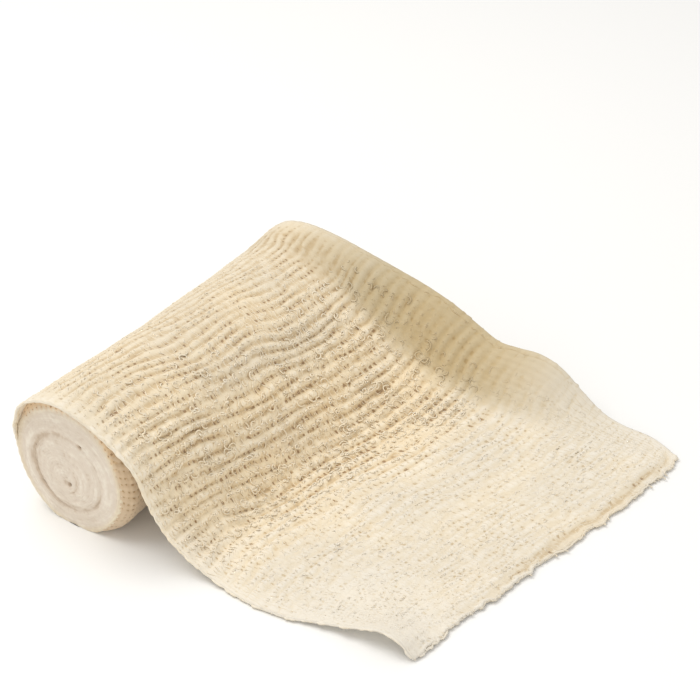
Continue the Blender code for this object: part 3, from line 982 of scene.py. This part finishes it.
# Rows of holes, painted as shade: the step along a row, the noise from which they open and at which
# they are full, their depth of painted shade, and the share of it that is left where shade is painted
# over the cloth.
Holes = namedtuple("Holes", "step opens full depth shaded")
GROUND_HOLES = Holes(1.6, 0.42, 0.62, 0.8, 0.25)
TURN_HOLES = Holes(1.15, 0.3, 0.5, 0.65, 1.0)
BAND_HOLES = Holes(1.3, 0.3, 0.5, 0.6, 1.0)
HOLE_VALLEY = Ease(-0.3, -0.85)  # by the cosine of the rib's phase
HOLE_BAR = Ease(0.1, 0.75)
HOLE_PATCHES = 330.0
HOLES_BY_WARMTH = Ease(0.0, 0.9, 0.5, 1.0)
SHADED_FROM, SHADED_TO = 0.0, 0.5

FUZZ, FUZZ_BUMP = (2600.0, 4.0, 0.6), (0.5, 0.00012)
FACE_FUZZ, FACE_FUZZ_BUMP = (2200.0, 5.0, 0.8), (0.6, 0.0003)
BOBBLES, BOBBLE_BUMP = (800.0, 2.0), (0.6, 0.0002)
BOBBLE_HEIGHT, HOLE_HEIGHT = 0.5, 2.5


class Nodes:
    """Short ways to add the nodes of one material."""

    def __init__(self, name):
        self.material = bpy.data.materials.new(name)
        self.material.use_nodes = True
        self.tree = self.material.node_tree
        self.shader = self.tree.nodes["Principled BSDF"]
        for socket, value in COTTON.items():
            self.shader.inputs[socket].default_value = value

    def add(self, kind, values=None, **settings):
        """A node with settings; values by socket are numbers, or sockets to link from."""
        node = self.tree.nodes.new(kind)
        for key, value in settings.items():
            setattr(node, key, value)
        for socket, value in (values or {}).items():
            if isinstance(value, bpy.types.NodeSocket):
                self.tree.links.new(value, node.inputs[socket])
            else:
                node.inputs[socket].default_value = value
        return node

    def place(self):
        return self.add("ShaderNodeTexCoord").outputs["Object"]

    def number(self, name):
        return self.add("ShaderNodeAttribute", attribute_name=name).outputs["Fac"]

    def math(self, operation, *terms):
        return self.add("ShaderNodeMath", dict(enumerate(terms)), operation=operation).outputs[0]

    def noise(self, vector, scale, detail=3.0, distortion=0.0):
        return self.add("ShaderNodeTexNoise", {"Vector": vector, "Scale": scale, "Detail": detail,
                                               "Distortion": distortion}).outputs["Fac"]

    def mottle(self, vector, kind):
        return self.math("MULTIPLY_ADD", self.noise(vector, kind.scale), kind.gain, kind.offset)

    def eased(self, ease, value):
        return self.add("ShaderNodeMapRange", dict(enumerate((value, *ease))),
                        interpolation_type="SMOOTHSTEP").outputs[0]

    def ramp(self, value, stops):
        node = self.add("ShaderNodeValToRGB", {"Fac": value})
        node.color_ramp.interpolation = "EASE"
        elements = node.color_ramp.elements
        for index, (position, colour) in enumerate(stops):
            element = elements[index] if index < 2 else elements.new(1.0)
            element.position = position
            element.color = (*colour, 1.0)
        return node.outputs["Color"]

    def tinted(self, colour, tint, share):
        """Colour times tint, by a share from 0 to 1."""
        node = self.add("ShaderNodeMix", data_type="RGBA", blend_type="MULTIPLY")
        self.tree.links.new(share, node.inputs[0])
        self.tree.links.new(colour, node.inputs[6])
        node.inputs[7].default_value = (*tint, 1.0)
        return node.outputs[2]

    def holes(self, place, across, kind):
        """Short bars of painted shade in rows, where the weave's gaps show: one row in each valley
        between two ribs.
        """
        crest = self.math("COSINE", self.math("MULTIPLY", self.number("rib"), math.tau))
        shift = self.mottle(place, HOLE_SHIFT)
        along_row = self.math("MULTIPLY_ADD", across, math.tau / kind.step, shift)
        wave = self.math("ADD", self.math("SINE", along_row), self.mottle(place, HOLE_UNEVEN))
        bar = self.math("MULTIPLY", self.eased(HOLE_VALLEY, crest), self.eased(HOLE_BAR, wave))
        there = Ease(kind.opens, kind.full, 0.0, kind.depth)
        return self.math("MULTIPLY", bar, self.eased(there, self.noise(place, HOLE_PATCHES)))

    def bump(self, height, strength, distance, below=None):
        values = {"Height": height, "Strength": strength, "Distance": distance}
        if below is not None:
            values["Normal"] = below
        return self.add("ShaderNodeBump", values).outputs["Normal"]

    def finish(self, colour, normal):
        self.tree.links.new(colour, self.shader.inputs["Base Color"])
        self.tree.links.new(normal, self.shader.inputs["Normal"])
        return self.material


def cotton_material(name, shade, holes=None):
    """Matt, fuzzy cotton, coloured by depth and place with painted shade and painted warm light; the
    ground also has holes of painted shade, and bobbles.
    """
    nodes = Nodes(name)
    place = nodes.place()
    depth = nodes.math("ADD", nodes.number("depth"), nodes.mottle(place, COTTON_MOTTLE))
    normal = nodes.bump(nodes.noise(place, *FUZZ), *FUZZ_BUMP)
    if holes:
        across = nodes.number("across")
        hole = nodes.holes(place, across, holes)
        hole = nodes.math("MULTIPLY", hole, nodes.eased(HOLES_BY_WARMTH, nodes.number("warmth")))
        left_dark = Ease(SHADED_FROM, SHADED_TO, 1.0, holes.shaded)
        hole = nodes.math("MULTIPLY", hole, nodes.eased(left_dark, nodes.number("painted_shade")))
        depth = nodes.math("ADD", depth, hole)
        strokes = nodes.math("SINE", nodes.math("MULTIPLY", across, math.tau / WARP_SPACING))
        bobbles = nodes.math("MULTIPLY", strokes, nodes.noise(place, *BOBBLES))
        height = nodes.math("SUBTRACT", nodes.math("MULTIPLY", bobbles, BOBBLE_HEIGHT),
                            nodes.math("MULTIPLY", hole, HOLE_HEIGHT))
        normal = nodes.bump(height, *BOBBLE_BUMP, normal)
    colour = nodes.ramp(depth, COTTON_STOPS)
    # Painted warm light, then painted shade.
    colour = nodes.tinted(colour, WARM_PAINTED_LIGHT, nodes.number("warmth"))
    colour = nodes.tinted(colour, shade, nodes.number("painted_shade"))
    return nodes.finish(colour, normal)


def face_material(name):
    """The felted end faces, and the band of the last turn's side that shows over their rim."""
    nodes = Nodes(name)
    place = nodes.place()
    band = nodes.number("band")
    hole = nodes.holes(place, nodes.number("across"), BAND_HOLES)
    depth = nodes.math("MULTIPLY_ADD", hole, band, nodes.number("depth"))
    colour = nodes.ramp(nodes.math("ADD", depth, nodes.mottle(place, FACE_MOTTLE)), FACE_STOPS)
    colour = nodes.tinted(colour, RIM_TINT, nodes.number("rim"))
    colour = nodes.tinted(colour, BAND_TINT, band)
    normal = nodes.bump(nodes.noise(place, *FACE_FUZZ), *FACE_FUZZ_BUMP)
    return nodes.finish(colour, normal)


# ---------------- camera, light and floor

CAMERA_AZIMUTH = math.radians(33.7)
CAMERA_ELEVATION = math.radians(34.2)
CAMERA_DISTANCE = 427.0
CAMERA_TARGET = (29.8, 28.2, 20.0)
FOCAL_PIXELS = 1600.0
FRAME_PIXELS = 700.0
SENSOR_MM = 36.0
NEAREST = 0.01  # that the camera sees, in metres

SKY_COLOUR, SKY_STRENGTH = (1.0, 0.985, 0.965, 1.0), 0.76
FLOOR_COLOUR, FLOOR_HALF_SIZE = (0.90, 0.90, 0.89, 1.0), 3000.0

# Square lights: place, aim and side in metres, power in watts, and colour.
Light = namedtuple("Light", "name place aim size watts colour")
LIGHTS = (
    Light("key", (-0.24, -0.12, 0.70), (0.04, 0.0, 0.0), 0.5, 3.0, (1.0, 0.99, 0.975)),
    Light("fill", (0.30, -0.42, 0.18), (0.02, -0.03, 0.01), 0.25, 0.26, (1.0, 0.97, 0.93)),
)


def make_camera():
    az, el = CAMERA_AZIMUTH, CAMERA_ELEVATION
    back = Vector((math.sin(az) * math.cos(el), -math.cos(az) * math.cos(el), math.sin(el)))
    right = Vector((math.cos(az), math.sin(az), 0.0))
    up = back.cross(right)
    data = bpy.data.cameras.new("camera")
    data.sensor_width = SENSOR_MM
    data.lens = SENSOR_MM * FOCAL_PIXELS / FRAME_PIXELS
    data.clip_start = NEAREST
    camera = bpy.data.objects.new("camera", data)
    place = (Vector(CAMERA_TARGET) + back * CAMERA_DISTANCE) * MM
    camera.matrix_world = Matrix.Translation(place) @ Matrix((right, up, back)).transposed().to_4x4()
    bpy.context.scene.collection.objects.link(camera)
    bpy.context.scene.camera = camera


def make_area_light(kind):
    data = bpy.data.lights.new(kind.name, "AREA")
    data.shape = "SQUARE"
    data.size = kind.size
    data.energy = kind.watts
    data.color = kind.colour
    light = bpy.data.objects.new(kind.name, data)
    light.location = kind.place
    away = Vector(kind.place) - Vector(kind.aim)
    light.rotation_euler = away.to_track_quat("Z", "Y").to_euler()
    bpy.context.scene.collection.objects.link(light)


def make_floor():
    corners = [(x * FLOOR_HALF_SIZE, y * FLOOR_HALF_SIZE, 0.0)
               for x, y in ((-1, -1), (1, -1), (1, 1), (-1, 1))]
    nodes = Nodes("floor_paper")
    nodes.shader.inputs["Base Color"].default_value = FLOOR_COLOUR
    nodes.shader.inputs["Sheen Weight"].default_value = 0.0
    floor = make_mesh("floor", corners, [(0, 1, 2, 3)], nodes.material)


def make_world():
    world = bpy.data.worlds.new("studio")
    world.use_nodes = True
    background = world.node_tree.nodes["Background"]
    background.inputs["Color"].default_value = SKY_COLOUR
    background.inputs["Strength"].default_value = SKY_STRENGTH
    bpy.context.scene.world = world


# ---------------- the scene

def main():
    make_camera()
    make_world()
    make_floor()
    for kind in LIGHTS:
        make_area_light(kind)
    bpy.context.scene.view_settings.view_transform = "Standard"

    ground = cotton_material("crepe_ground", FLAP_PAINTED_SHADE, GROUND_HOLES)
    snug = cotton_material("crepe_turn", TURN_PAINTED_SHADE, TURN_HOLES)
    yarn = cotton_material("crepe_yarn", FLAP_PAINTED_SHADE)
    strip = StripMap()
    loose = make_sheet("loose_cloth", strip, 0.0, JOIN, ground)
    turn = make_sheet("outer_turn", strip, JOIN, STRIP_END, snug)
    turns = make_wound_turns(face_material("wound_edges"))
    yarns = make_warps(strip, yarn)
    for make_yarns in (make_wefts, make_curls, make_selvedges, make_cut_threads):
        yarns.append(make_yarns(strip, yarn))

    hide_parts("loose_end")
    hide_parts("wound_roll")
    for piece in (loose, turn, turns, *yarns):
        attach(piece, BODY)


main()
bpy.context.view_layer.update()
